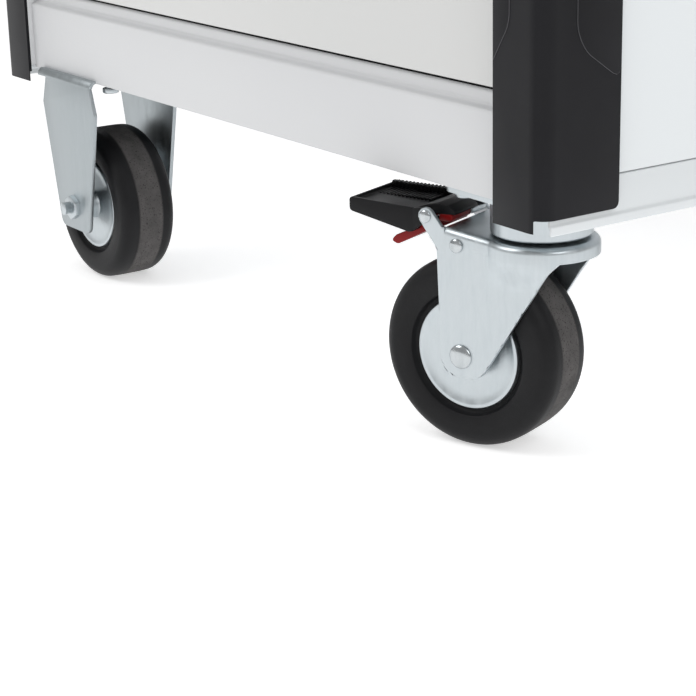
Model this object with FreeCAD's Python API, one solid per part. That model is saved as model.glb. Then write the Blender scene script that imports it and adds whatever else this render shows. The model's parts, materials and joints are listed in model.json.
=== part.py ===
import FreeCAD, Part
import math
import os
from FreeCAD import Vector

# Mobile workbench: a five-drawer steel cabinet with a wooden worktop, two fixed and two braked swivel
# castors.  Millimetres, +Z up, drawers opening towards -Y, fixed castors at -X, swivel castors at +X.
# The origin is on the floor, under the middle of the overall box, push handle included.

# ---- overall cabinet -------------------------------------------------------------------------------
cabinet_width = 704.0          # over the side panels
cabinet_depth = 530.0          # over the sill and back panel planes
wheel_diameter = 125.0
castor_headroom = 45.0         # castor plate's top above the wheel
base_height = wheel_diameter + castor_headroom    # floor to the underside of the base pan
post_width = 39.0              # corner post, along X
post_depth = 33.5              # corner post, along Y
post_proud = 5.5               # how far the posts stand in front of the sill plane
wall = 1.5                     # folded sheet
panel_wall = 2.0               # side panels, side rails and base pan
bend = 1.5                     # inside radius of a fold
return_width = 15.0            # folded edge that stiffens a panel
back_return = 8.0              # folded edge of the back panel, clear of the locking bar
seam = 0.8                     # visible joint between side panel and side rail

# ---- lower rails -----------------------------------------------------------------------------------
rail_top = base_height + 16.0  # top of the side rails
lip_top = base_height - 6.5    # where the side rail steps outwards
lip_bottom = base_height - 13.5 # lowest edge of the side rail
lip_proud = 1.5                # step of the side rail's lip
sill_bead = base_height + 52.0 # where the sill's flat front starts to roll back
sill_top = base_height + 62.6  # highest point of the sill
sill_set_back = 9.0            # how far the rolled top lies behind the sill's front

# ---- drawers, from the lowest up -------------------------------------------------------------------
front_heights = [182.0, 150.0, 110.0, 94.0, 94.0]
front_gap = 4.2                # between neighbouring fronts, and above the sill
side_gap = 1.5                 # between a front and a post
front_depth = 15.0             # thickness of a drawer front, less one sheet
grip_height = 26.0             # finger recess along the top of each front
grip_slope = 8.0               # height of the recess's sloping floor
grip_lip = 8.0                 # downturned lip over the recess
tray_wall = 1.2
tray_drop = 24.0               # how much lower a tray is than its front
tray_rise = 8.0                # tray floor above the front's lower edge
tray_length = cabinet_depth - 50.0
slide_room = 13.5              # sideways room of one slide
slide_height = 45.0
slide_lift = 6.0               # slide above the tray floor
slide_play = 0.4               # running gap between the two members
slide_length = cabinet_depth - 20.0
inner_slide_length = cabinet_depth - 60.0
slide_start = 1.0              # fixed member behind the closed drawer front

# ---- top -------------------------------------------------------------------------------------------
top_frame_height = 30.0
worktop_width = cabinet_width + 16.0
worktop_depth = cabinet_depth + 30.0
worktop_thickness = 35.0
worktop_corner = 12.0
worktop_edge = 2.5             # softening of its upper and lower edges

# ---- corner bumpers --------------------------------------------------------------------------------
bumper_front_wall = 2.5
bumper_side_wall = 3.0
bumper_bottom = base_height - 11.5
bumper_side_bottom = base_height - 3.5
bumper_notch = 7.0             # width of the deeper part at the corner
bumper_wing = 60.0             # length of the wing along the side
bumper_corner = 10.0
bumper_inner_corner = 5.0

# ---- castors ---------------------------------------------------------------------------------------
tyre_width = 48.4
tyre_shoulder = 10.0
hub_radius = 36.8
hub_recess = 1.0               # hub disc inside the tyre's side
hub_disc = 3.0
hub_rim = 3.0
hub_bush_radius = 11.0
hub_vent_radius = 2.5
axle_radius = 5.0
axle_head_radius = 7.9         # domed head of a swivel fork's axle
axle_head_height = 3.0
axle_nut_radius = 9.8          # hexagon of a fixed fork's axle, over its corners
axle_nut_height = 6.0
axle_thread = 2.5              # thread end beyond the nut
running = 0.05                 # radial clearance of a shaft in its bore
side_play = 0.3                # clearance between flat faces that turn past each other
fork_sheet = 3.0
plate_thickness = 4.0

fixed_fork_half = 35.0         # outer half width over the fork's legs
fixed_plate_length = 105.0
fixed_axle_inset = 109.2       # wheel axis from the left side panel
fixed_wheel_inset = 30.2       # wheel's middle plane behind the sill plane
fixed_leg_bottom = 19.0        # leg end below the wheel axis
fixed_leg_foot = 23.8          # half width of the leg's lower end
fixed_leg_wide = 45.3          # half width where the leg is widest
fixed_leg_top = 38.0
fixed_leg_shoulder = 21.0      # widest place below the plate
fixed_bolt_x = 42.0
fixed_bolt_y = 20.0

swivel_fork_half = 29.5
swivel_inset_x = 54.7          # swivel axis from the right side panel
swivel_inset_y = 41.7          # swivel axis behind the sill plane
swivel_trail = 40.7
swivel_turn = 20.58            # how far the front castor is turned at rest
swivel_plate_x = 95.0
swivel_plate_y = 82.0
swivel_bolt_x = 75.0
swivel_bolt_y = 60.0
race_radius = 32.0
race_bottom = base_height - 27.6
crown_radius = 36.5
crown_top = base_height - 29.5
crown_skirt = 10.0
kingpin_radius = 8.0
kingpin_head = 12.0
leg_tip_radius = 13.0

pedal_pivot = (-25.5, base_height - 20.0)# from the wheel axis towards the swivel axis, and height
pedal_pin = 3.0
pedal_pin_head = 4.2
small_head_height = 2.0        # domed heads of the pedal and shoe pins
arm_radius = 5.3
pedal_half = 25.0
pedal_wall = 3.0
pedal_tip = -86.0
shoe_pivot = (-3.0, base_height - 37.5)
shoe_pin = 2.0
shoe_pin_head = 4.3
shoe_half = 20.0
lever_half = 17.0
lever_boss = 4.6

bolt_radius = 4.0
bolt_head_radius = 6.5
bolt_head_height = 4.0

# ---- lock ------------------------------------------------------------------------------------------
lock_radius = 11.0
lock_rim = 2.0                 # flange round the barrel
lock_flange = 4.0              # thickness of that flange
lock_depth = 16.0              # barrel behind the sill plane
key_bow = 19.0                 # key in front of the lock's face
key_height = 20.0
key_sheet = 2.4
key_hole = 2.5
shaft_radius = 4.0
lock_lift = 13.0               # lock axis above the top frame's underside
crank_length = 10.0            # also the locking bar's travel
crank_pin = 2.5
bar_width = 30.0
bar_thickness = 3.0
bar_gap = 12.0                 # locking bar behind the trays
lug_width = 16.0               # lug at the back of each tray, and the hook that holds it
lug_reach = 8.0
lug_sheet = 2.0
lug_lip = 4.0
lug_lift = 40.0                # lug above the tray floor
hook_tip = 4.5                 # upturned end of a hook
seat_gap = 0.05                # clearance left under a welded lug or hook

# ---- push handle -----------------------------------------------------------------------------------
handle_drop = 37.8             # tube axis below the top of the side panel
handle_length = cabinet_depth - 90.0
handle_radius = 12.5
handle_out = 45.0              # tube axis outside the side panel
bracket_spacing = handle_length - 40.0
bracket_width = 26.0
bracket_wall = 4.0
bracket_foot = 64.0            # height of the foot on the panel
bracket_foot_sheet = 5.0
bracket_arm = 44.0             # height of the arm where it leaves the foot

# ---- places that follow from the sizes above -------------------------------------------------------
half_width = cabinet_width / 2
half_depth = cabinet_depth / 2
inner_side = half_width - panel_wall  # inside of a side panel, outside of a post
half_opening = inner_side - post_width# between the posts
post_front = half_depth + post_proud
post_back = post_front - post_depth
floor_top = base_height + panel_wall
panel_bottom = rail_top + seam
fronts_bottom = sill_top + front_gap
fronts_top = fronts_bottom + sum(front_heights) + front_gap * (len(front_heights) - 1)
cabinet_top = fronts_top + front_gap
frame_top = cabinet_top + top_frame_height
bench_top = frame_top + worktop_thickness
tray_half = half_opening - slide_room
tray_front = -half_depth + front_depth + wall
tray_back = tray_front + tray_length
half_front = half_opening - side_gap
wheel_radius = wheel_diameter / 2
plate_bottom = base_height - plate_thickness
fixed_x = -half_width + fixed_axle_inset
fixed_y = half_depth - fixed_wheel_inset
swivel_x = half_width - swivel_inset_x
swivel_y = half_depth - swivel_inset_y
bumper_side = half_width + bumper_side_wall
post_corner = bumper_inner_corner - panel_wall
lock_height = cabinet_top + lock_lift
bar_front = tray_back + bar_gap
lock_face = -half_depth - lock_flange
core_back = -half_depth + lock_depth
handle_x = half_width + handle_out
handle_height = cabinet_top - handle_drop
bracket_ring = handle_radius + bracket_wall
left_reach = max(worktop_width / 2, bumper_side)
origin_shift = -(handle_x + bracket_ring - left_reach) / 2

os.makedirs("parts", exist_ok=True)


# ---- shape helpers ---------------------------------------------------------------------------------
def box(x0, y0, z0, x1, y1, z1):
    return Part.makeBox(x1 - x0, y1 - y0, z1 - z0, Vector(x0, y0, z0))


def rod(radius, start, end):
    """A round bar between two points."""
    start, end = Vector(*start), Vector(*end)
    return Part.makeCylinder(radius, (end - start).Length, start, end - start)


def in_plane(plane, u, v, w):
    """The point (u, v) of a flat outline, at w along the outline's normal."""
    return {"xy": Vector(u, v, w), "xz": Vector(u, w, v), "yz": Vector(w, u, v)}[plane]


def outline(corners, plane, w=0.0):
    """A closed outline of straight runs.  A corner is (u, v), or (u, v, radius) where it is rounded."""
    ends = []
    for i, corner in enumerate(corners):
        here = Vector(corner[0], corner[1], 0)
        radius = corner[2] if len(corner) > 2 else 0
        before = Vector(corners[i - 1][0], corners[i - 1][1], 0) - here
        after = Vector(corners[(i + 1) % len(corners)][0], corners[(i + 1) % len(corners)][1], 0) - here
        if not radius:
            ends.append((here, None, here))
            continue
        before.normalize()
        after.normalize()
        half = before.getAngle(after) / 2
        middle = (before + after).normalize()
        centre = here + middle * (radius / math.sin(half))
        along = radius / math.tan(half)
        ends.append((here + before * along, centre - middle * radius, here + after * along))
    edges = []
    for i, (start, middle, end) in enumerate(ends):
        if middle is not None:
            edges.append(Part.Arc(*[in_plane(plane, p.x, p.y, w) for p in (start, middle, end)]).toShape())
        following = ends[(i + 1) % len(ends)][0]
        if (following - end).Length > 1e-6:
            edges.append(Part.LineSegment(in_plane(plane, end.x, end.y, w),
                                          in_plane(plane, following.x, following.y, w)).toShape())
    return Part.Face(Part.Wire(edges))


def prism(corners, plane, w0, w1):
    """The outline pushed along its plane's normal from w0 to w1."""
    return outline(corners, plane, w0).extrude(in_plane(plane, 0, 0, w1 - w0))


def turned(corners):
    """The outline (distance from the axis, place along Y) turned about the Y axis."""
    return outline(corners, "xy").revolve(Vector(0, 0, 0), Vector(0, 1, 0), 360)


def folded(points, side, plane, w0, w1, thickness=wall):
    """A folded sheet: its outer line through points, thickness to the left (side 1) or right (-1)."""
    count = len(points)
    runs = [(Vector(*points[i + 1], 0) - Vector(*points[i], 0)).normalize() for i in range(count - 1)]
    outer, inner = [], []
    for i, point in enumerate(points):
        arrive = runs[max(i - 1, 0)]
        leave = runs[min(i, count - 2)]
        left = Vector(-(arrive.y + leave.y), arrive.x + leave.x, 0).normalize()
        reach = thickness / left.dot(Vector(-leave.y, leave.x, 0))
        inward = Vector(*point, 0) + left * (side * reach)
        towards = (arrive.x * leave.y - arrive.y * leave.x) * side
        if abs(towards) < 1e-9:
            radii = (0, 0)
        elif towards > 0:
            radii = (bend + thickness, bend)
        else:
            radii = (bend, bend + thickness)
        outer.append((point[0], point[1], radii[0]))
        inner.append((inward.x, inward.y, radii[1]))
    return prism(outer + inner[::-1], plane, w0, w1)


def mirror_x(shape):
    return shape.mirror(Vector(0, 0, 0), Vector(1, 0, 0))


def mirror_y(shape):
    return shape.mirror(Vector(0, 0, 0), Vector(0, 1, 0))


def fuse(first, *others):
    return first.fuse(list(others)).removeSplitter()


def save(name, *solids):
    """Writes one node, each solid moved so that the origin lies under the middle of the overall box."""
    loose = []
    for shape in solids:
        loose += shape.Solids
    whole = loose[0] if len(loose) == 1 else Part.makeCompound(loose)
    whole = whole.copy()
    whole.translate(Vector(origin_shift, 0, 0))
    whole.exportStep("parts/" + name + ".step")


def bolt_places():
    """Where the castor bolts stand: four through each plate."""
    places = []
    for end in (-1, 1):
        for sx in (-1, 1):
            for sy in (-1, 1):
                places.append((fixed_x + sx * fixed_bolt_x, end * fixed_y + sy * fixed_bolt_y))
                places.append((swivel_x + sx * swivel_bolt_x / 2, end * swivel_y + sy * swivel_bolt_y / 2))
    return places


# ---- cabinet shell ---------------------------------------------------------------------------------
def base_pan():
    """Pressed floor with upturned sides and back, which carries the castor plates."""
    floor = box(-inner_side, -half_depth + wall, base_height, inner_side, half_depth, floor_top)
    rim = box(inner_side - panel_wall, -post_back, floor_top, inner_side, post_back, panel_bottom)
    back_rim = box(-half_opening, half_depth - wall - panel_wall, floor_top,
                   half_opening, half_depth - wall, panel_bottom)
    holes = [rod(bolt_radius, (x, y, base_height - 1), (x, y, floor_top + 1)) for x, y in bolt_places()]
    return fuse(floor, rim, mirror_x(rim), back_rim).cut(holes)


def front_sill():
    """Folded rail under the lowest drawer, its top edge rolled back behind the front plane."""
    front = -half_depth
    rear = front + sill_set_back
    profile = [(front, base_height), (front, sill_bead), (rear, sill_top),
               (rear + return_width, sill_top), (rear + return_width, sill_top - return_width)]
    return folded(profile, -1, "yz", -half_opening, half_opening)


def side_panel():
    """Right side panel: one sheet with its top and bottom edges turned inwards between the posts."""
    web = box(inner_side, -half_depth, panel_bottom, half_width, half_depth, cabinet_top)
    low = box(inner_side - return_width, -post_back, panel_bottom,
              inner_side, post_back, panel_bottom + panel_wall)
    high = box(inner_side - return_width, -post_back, cabinet_top - panel_wall,
               inner_side, post_back, cabinet_top)
    return fuse(web, low, high)


def side_rail():
    """Right lower rail: a sheet whose lower lip steps outwards and hangs below the base."""
    step = panel_wall * 0.6
    profile = [(inner_side, rail_top), (half_width, rail_top), (half_width, lip_top),
               (half_width + lip_proud, lip_top - lip_proud), (half_width + lip_proud, lip_bottom, 0.9),
               (inner_side + lip_proud, lip_bottom, 0.9), (inner_side + lip_proud, lip_top - lip_proud - step),
               (inner_side, lip_top - step)]
    return prism(profile, "xz", -half_depth + wall, half_depth - wall)


def back_panel():
    """Back sheet between the rear posts, its top edge turned forwards under the top frame."""
    web = box(-half_opening, half_depth - wall, floor_top, half_opening, half_depth, cabinet_top)
    high = box(-half_opening, half_depth - wall - back_return, cabinet_top - wall,
               half_opening, half_depth - wall, cabinet_top)
    return fuse(web, high)


def corner_post():
    """Front right post: a box section standing on the base pan."""
    outer = prism([(half_opening, -post_front), (inner_side, -post_front, post_corner),
                   (inner_side, -post_back), (half_opening, -post_back)], "xy", floor_top, cabinet_top)
    hollow = box(half_opening + wall, -post_front + wall, floor_top,
                 inner_side - wall, -post_back - wall, cabinet_top)
    return outer.cut(hollow)


def bumper():
    """Front right bumper: a moulded angle over the post, deeper at the corner than along the side."""
    front = -post_front - bumper_front_wall
    profile = [(half_opening, front), (bumper_side, front, bumper_corner),
               (bumper_side, front + bumper_wing), (half_width, front + bumper_wing),
               (half_width, -post_front, bumper_inner_corner), (half_opening, -post_front)]
    shell = prism(profile, "xy", bumper_bottom, frame_top)
    notch = box(half_opening, front + bumper_notch, bumper_bottom - 1,
                bumper_side + 1, front + bumper_wing + 1, bumper_side_bottom)
    return shell.cut(notch)


def top_frame():
    """Shallow steel tray that closes the cabinet and carries the worktop on its edges."""
    outer = box(-half_width, -half_depth, cabinet_top, half_width, half_depth, frame_top)
    hollow = box(-half_width + wall, -half_depth + wall, cabinet_top + wall,
                 half_width - wall, half_depth - wall, frame_top)
    lock_hole = rod(lock_radius, (0, -half_depth - 1, lock_height), (0, -half_depth + wall + 1, lock_height))
    bar_slot = box(crank_length - bar_width / 2 - side_play, bar_front - side_play, cabinet_top - 1,
                   crank_length + bar_width / 2 + side_play, bar_front + bar_thickness + side_play,
                   cabinet_top + wall + 1)
    return outer.cut([hollow, lock_hole, bar_slot])


def worktop():
    """Glued beech slab with rounded corners and softened edges."""
    x, y = worktop_width / 2, worktop_depth / 2
    slab = prism([(-x, -y, worktop_corner), (x, -y, worktop_corner), (x, y, worktop_corner),
                  (-x, y, worktop_corner)], "xy", frame_top, bench_top)
    rims = [e for e in slab.Edges if abs(e.BoundBox.ZMax - e.BoundBox.ZMin) < 1e-6]
    return slab.makeFillet(worktop_edge, rims)


# ---- drawers ---------------------------------------------------------------------------------------
def drawer_front(low, high):
    """Folded steel front with a finger recess along its top and closed ends."""
    face = -half_depth
    back = face + front_depth
    recess = high - grip_height
    profile = [(back + wall, low), (face, low), (face, recess), (back, recess + grip_slope),
               (back, high - wall), (face + wall, high - wall), (face + wall, high - grip_lip)]
    sheet = folded(profile, -1, "yz", -half_front, half_front)
    ends = []
    for x in (-half_front, half_front - wall):
        ends.append(prism([(face + wall, low + wall), (back + wall, low + wall), (back + wall, high - wall),
                           (back, high - wall), (back, recess + grip_slope), (face + wall, recess)],
                          "yz", x, x + wall))
    return fuse(sheet, *ends)


def drawer_tray(low, high):
    """Open box of thin sheet behind the front, and the lug welded to its back for the lock."""
    floor = low + tray_rise
    top = floor + (high - low) - tray_drop
    outer = box(-tray_half, tray_front, floor, tray_half, tray_back, top)
    hollow = box(-tray_half + tray_wall, tray_front + tray_wall, floor + tray_wall,
                 tray_half - tray_wall, tray_back - tray_wall, top)
    lug_z = floor + lug_lift
    x0, x1 = crank_length - lug_width / 2, crank_length + lug_width / 2
    lug = box(x0, tray_back + seat_gap, lug_z, x1, tray_back + lug_reach, lug_z + lug_sheet)
    lip = box(x0, tray_back + lug_reach - lug_sheet, lug_z - lug_lip,
              x1, tray_back + lug_reach, lug_z)
    return [outer.cut(hollow), fuse(lug, lip)]


def channel(web_x, open_x, low, high, y0, y1):
    """A C section along Y, its web at web_x and its flanges reaching to open_x."""
    step = math.copysign(wall, open_x - web_x)
    outer = box(min(web_x, open_x), y0, low, max(web_x, open_x), y1, high)
    room = sorted((web_x + step, open_x))
    return outer.cut(box(room[0], y0, low + wall, room[1], y1, high - wall))


def outer_slide(low):
    """Fixed slide member on the right posts' inner faces."""
    z = low + tray_rise + slide_lift
    y = tray_front + slide_start
    return channel(half_opening, tray_half + 2 * wall, z, z + slide_height, y, y + slide_length)


def inner_slide(low):
    """Moving slide member on the tray's right side, inside the fixed one."""
    z = low + tray_rise + slide_lift + wall + slide_play
    y = tray_front + slide_start
    height = slide_height - 2 * (wall + slide_play)
    return channel(tray_half, half_opening - 2 * wall, z, z + height, y, y + inner_slide_length)


# ---- castors: modelled about their own swivel or wheel axis ----------------------------------------
def along_y(shape, x, z):
    shape = shape.copy()
    shape.translate(Vector(x, 0, z))
    return shape


def tyre():
    """Solid rubber tyre about the Y axis."""
    half = tyre_width / 2
    seat = half - hub_recess
    return turned([(hub_radius, -seat), (hub_radius + 2, -half, 1), (wheel_radius, -half, tyre_shoulder),
                   (wheel_radius, half, tyre_shoulder), (hub_radius + 2, half, 1), (hub_radius, seat)])


def hub(bush_half):
    """Pressed steel hub about the Y axis: two discs on a rim, and a bush that reaches the fork."""
    half = tyre_width / 2 - hub_recess
    bore = axle_radius + running
    core = turned([(bore, -bush_half), (hub_bush_radius, -bush_half), (hub_bush_radius, bush_half),
                   (bore, bush_half)])
    rim = turned([(hub_radius - hub_rim, -half), (hub_radius, -half), (hub_radius, half),
                  (hub_radius - hub_rim, half)])
    discs = []
    for y in (-half, half - hub_disc):
        discs.append(turned([(hub_bush_radius, y), (hub_radius - hub_rim, y),
                             (hub_radius - hub_rim, y + hub_disc), (hub_bush_radius, y + hub_disc)]))
    whole = fuse(core, rim, *discs)
    vent_x = (hub_bush_radius + hub_radius - hub_rim) / 2
    return whole.cut(rod(hub_vent_radius, (vent_x, half - hub_disc - 1, 0), (vent_x, half + 1, 0)))


def domed_pin(radius, head_radius, head_height, half):
    """A riveted pin along Y with a domed head outside each fork leg."""
    end = half + head_height
    return turned([(0, -end), (head_radius, -end, head_height * 0.8), (head_radius, -half), (radius, -half),
                   (radius, half), (head_radius, half), (head_radius, end, head_height * 0.8), (0, end)])


def hexagon(radius, y0, y1):
    """A hexagonal nut or head about the Y axis, radius over its corners."""
    corners = [(radius * math.cos(math.radians(60 * i)), radius * math.sin(math.radians(60 * i)))
               for i in range(6)]
    return prism(corners, "xz", y0, y1)


def fixed_fork():
    """Fork of a fixed castor about its wheel axis: a plate with two legs bent down from its edges."""
    half = fixed_fork_half
    plate = box(-fixed_plate_length / 2, -half, plate_bottom - wheel_radius,
                fixed_plate_length / 2, half, base_height - wheel_radius)
    top = plate_bottom - wheel_radius
    wide = top - fixed_leg_shoulder
    leg_corners = [(-fixed_leg_foot, -fixed_leg_bottom, 10), (fixed_leg_foot, -fixed_leg_bottom, 10),
                   (fixed_leg_wide, wide, 4), (fixed_leg_top, top), (-fixed_leg_top, top),
                   (-fixed_leg_wide, wide, 4)]
    leg = prism(leg_corners, "xz", half - fork_sheet, half)
    holes = [rod(axle_radius + running, (0, -half - 1, 0), (0, half + 1, 0))]
    for x in (-fixed_bolt_x, fixed_bolt_x):
        for y in (-fixed_bolt_y, fixed_bolt_y):
            holes.append(rod(bolt_radius, (x, y, top - 1), (x, y, base_height)))
    return fuse(plate, leg, mirror_y(leg)).cut(holes)


def fixed_axle():
    """Axle bolt of a fixed castor: nut and thread end at -Y, head at +Y."""
    half = fixed_fork_half
    shank = rod(axle_radius, (0, -half - axle_nut_height - axle_thread, 0), (0, half, 0))
    nut = hexagon(axle_nut_radius, -half - axle_nut_height, -half)
    head = hexagon(axle_nut_radius, half, half + axle_nut_height)
    return fuse(shank, nut, head)


def swivel_plate():
    """Top plate of a swivel castor with its ball race and kingpin, about the swivel axis."""
    x, y = swivel_plate_x / 2, swivel_plate_y / 2
    plate = prism([(-x, -y, 8), (x, -y, 8), (x, y, 8), (-x, y, 8)], "xy", plate_bottom, base_height)
    holes = [rod(bolt_radius, (sx * swivel_bolt_x / 2, sy * swivel_bolt_y / 2, plate_bottom - 1),
                 (sx * swivel_bolt_x / 2, sy * swivel_bolt_y / 2, base_height + 1))
             for sx in (-1, 1) for sy in (-1, 1)]
    crown_under = crown_top - fork_sheet
    head_top = crown_under - side_play
    race = outline([(0, plate_bottom), (race_radius, plate_bottom), (race_radius, race_bottom, 2),
                    (kingpin_radius, race_bottom), (kingpin_radius, head_top), (kingpin_head, head_top),
                    (kingpin_head, head_top - 5, 2), (0, head_top - 5)], "xz")
    race = race.revolve(Vector(0, 0, 0), Vector(0, 0, 1), 360)
    return fuse(plate.cut(holes), race)


def swivel_fork():
    """Fork of a swivel castor about the swivel axis, wheel trailing towards -X."""
    half = swivel_fork_half
    under = crown_top - fork_sheet
    cap = outline([(kingpin_radius + running, under), (kingpin_radius + running, crown_top),
                   (crown_radius, crown_top, fork_sheet), (crown_radius, crown_top - crown_skirt),
                   (crown_radius - fork_sheet, crown_top - crown_skirt), (crown_radius - fork_sheet, under)],
                  "xz").revolve(Vector(0, 0, 0), Vector(0, 0, 1), 360)
    between = box(-crown_radius - 1, -half + fork_sheet, crown_top - crown_skirt - 1,
                  0, half - fork_sheet, under)
    crown = box(-swivel_trail - 7, -half, under, 0, half, crown_top)
    crown = crown.cut(rod(kingpin_radius + running, (0, 0, under - 1), (0, 0, crown_top + 1)))

    # One leg, drawn from the wheel axis (u = 0): tip, rear edge, the pedal's arm, crown, sloping front.
    lean = Vector(pedal_pivot[0] + 12, pedal_pivot[1] - (crown_top - 8.5), 0).normalize()
    across = Vector(lean.y, -lean.x, 0)
    tip = Vector(*pedal_pivot, 0) + lean * arm_radius
    rear = -leg_tip_radius - 4.5
    near = tip - across * arm_radius
    far = tip + across * arm_radius
    arm_foot = near - lean * ((rear - near.x) / -lean.x)
    arm_root = far - lean * ((far.y - crown_top) / lean.y)
    bottom = wheel_radius - leg_tip_radius - 1
    corners = [(-leg_tip_radius - 1.5, bottom, leg_tip_radius - 1), (rear, arm_foot.y, 6),
               (near.x, near.y, arm_radius - 0.1), (far.x, far.y, arm_radius - 0.1),
               (arm_root.x, crown_top, 3), (swivel_trail + 29.3, crown_top),
               (swivel_trail + 29.3, crown_top - 6), (swivel_trail + 20.3, crown_top - 16.5, 20),
               (leg_tip_radius + 0.5, bottom, leg_tip_radius - 1)]
    leg = prism([(c[0] - swivel_trail,) + c[1:] for c in corners], "xz", half - fork_sheet, half)
    holes = [rod(radius + running, (u - swivel_trail, -half - 1, z), (u - swivel_trail, half + 1, z))
             for radius, u, z in ((axle_radius, 0, wheel_radius), (pedal_pin,) + pedal_pivot,
                                  (shoe_pin,) + shoe_pivot)]
    return fuse(cap.cut(between), crown, leg, mirror_y(leg)).cut(holes)


def fork_pins():
    """Axle, pedal pin and brake shoe pin of a swivel fork."""
    half = swivel_fork_half
    axle = domed_pin(axle_radius, axle_head_radius, axle_head_height, half)
    pedal = domed_pin(pedal_pin, pedal_pin_head, small_head_height, half)
    shoe = domed_pin(shoe_pin, shoe_pin_head, small_head_height, half)
    return [along_y(axle, -swivel_trail, wheel_radius),
            along_y(pedal, pedal_pivot[0] - swivel_trail, pedal_pivot[1]),
            along_y(shoe, shoe_pivot[0] - swivel_trail, shoe_pivot[1])]


def brake_pedal():
    """Moulded pedal about its pin: a hollow tread and two cheeks joined by a rear bar."""
    u, z = pedal_pivot
    cheek = [(pedal_tip, z - 6, 2), (pedal_tip, z + 1.3, 2), (u - 16.5, z + 0.4, 4), (u - 4, z + 4.4, 4),
             (u + 17.5, z + 1, 1.5), (u + 17.5, z - 4.5, 1.5), (u - 5, z - 6.5, 4), (u - 15.5, z - 13.2, 2)]
    body = prism(cheek, "xz", -pedal_half, pedal_half)
    inside = pedal_half - pedal_wall
    front_room = prism([(pedal_tip + pedal_wall, z - 30), (pedal_tip + pedal_wall, z - 2),
                        (u - 16.5, z - 2.8), (u - 7.5, z - 2.8), (u - 7.5, z - 30)],
                       "xz", -inside, inside)
    rear_room = prism([(u - 8, z - 30), (u - 8, z + 30), (u + 12.5, z + 30), (u + 12.5, z - 30)],
                      "xz", -inside, inside)
    pin = rod(pedal_pin + running, (u, -pedal_half - 1, z), (u, pedal_half + 1, z))
    return along_y(body.cut([front_room, rear_room, pin]), -swivel_trail, 0)


def release_lever():
    """Moulded release lever on the pedal's pin, its toe hanging below the tread."""
    u, z = pedal_pivot
    arm = [(u - 3, z - 3.6), (u - 31, z - 19, 2), (u - 34.5, z - 23, 1.5), (u - 28, z - 24.5, 3),
           (u - 4.5, z - 10.5, 3), (u + 10.5, z - 5.2, 1), (u + 10.5, z - 1, 1), (u + 3, z)]
    body = prism(arm, "xz", -lever_half, lever_half)
    boss = rod(lever_boss, (u, -lever_half, z), (u, lever_half, z))
    pin = rod(pedal_pin + running, (u, -lever_half - 1, z), (u, lever_half + 1, z))
    return along_y(fuse(body, boss).cut(pin), -swivel_trail, 0)


def brake_shoe():
    """Steel shoe between the fork's legs, hung just above the tyre."""
    u, z = shoe_pivot
    arm = [(u - 17, z - 8.6, 1), (u - 17, z - 3, 1), (u - 4, z + 3, 2), (u + 3, z - 1, 1), (u - 3, z - 6.3, 1)]
    body = prism(arm, "xz", -shoe_half, shoe_half)
    boss = rod(2 * shoe_pin, (u, -shoe_half, z), (u, shoe_half, z))
    pin = rod(shoe_pin + running, (u, -shoe_half - 1, z), (u, shoe_half + 1, z))
    return along_y(fuse(body, boss).cut(pin), -swivel_trail, 0)


def castor_bolt(x, y):
    """Bolt head under a castor plate, its shank through plate and base pan, and a nut above."""
    shank = rod(bolt_radius, (x, y, plate_bottom), (x, y, floor_top))
    head = rod(bolt_head_radius, (x, y, plate_bottom - bolt_head_height), (x, y, plate_bottom))
    nut = rod(bolt_head_radius, (x, y, floor_top), (x, y, floor_top + bolt_head_height))
    return fuse(shank, head, nut)


# ---- lock ------------------------------------------------------------------------------------------
def lock_housing():
    """Barrel in the front of the top frame, with a flange outside."""
    flange = rod(lock_radius + lock_rim, (0, lock_face, lock_height), (0, -half_depth, lock_height))
    barrel = rod(lock_radius, (0, -half_depth, lock_height), (0, core_back, lock_height))
    core = rod(lock_radius - 3 + running, (0, lock_face - 1, lock_height), (0, core_back + 1, lock_height))
    return fuse(flange, barrel).cut(core)


def key():
    """Lock core with its key: a flat bow on the core's face."""
    core = rod(lock_radius - 3, (0, lock_face, lock_height), (0, core_back, lock_height))
    half = key_sheet / 2
    low, high = lock_height - key_height / 2, lock_height + key_height / 2
    front, back = lock_face - key_bow, lock_face - 3
    blade = box(-half, back, lock_height - 4, half, lock_face, lock_height + 4)
    bow = prism([(front, low, 7), (back, low, 4), (back, high, 4), (front, high, 7)], "yz", -half, half)
    hole = rod(key_hole, (-half - 1, front + 5, lock_height), (half + 1, front + 5, lock_height))
    return fuse(core, blade, bow).cut(hole)


def lock_shaft():
    """Shaft from the core to the back of the cabinet, with a crank and its pin."""
    crank_y = bar_front - 6
    shaft = rod(shaft_radius, (0, core_back, lock_height), (0, crank_y, lock_height))
    crank = box(-shaft_radius, crank_y - 4, lock_height - shaft_radius,
                crank_length + crank_pin, crank_y, lock_height + shaft_radius)
    pin = rod(crank_pin, (crank_length, crank_y, lock_height),
              (crank_length, bar_front + bar_thickness + 1, lock_height))
    return fuse(shaft, crank, pin)


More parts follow.
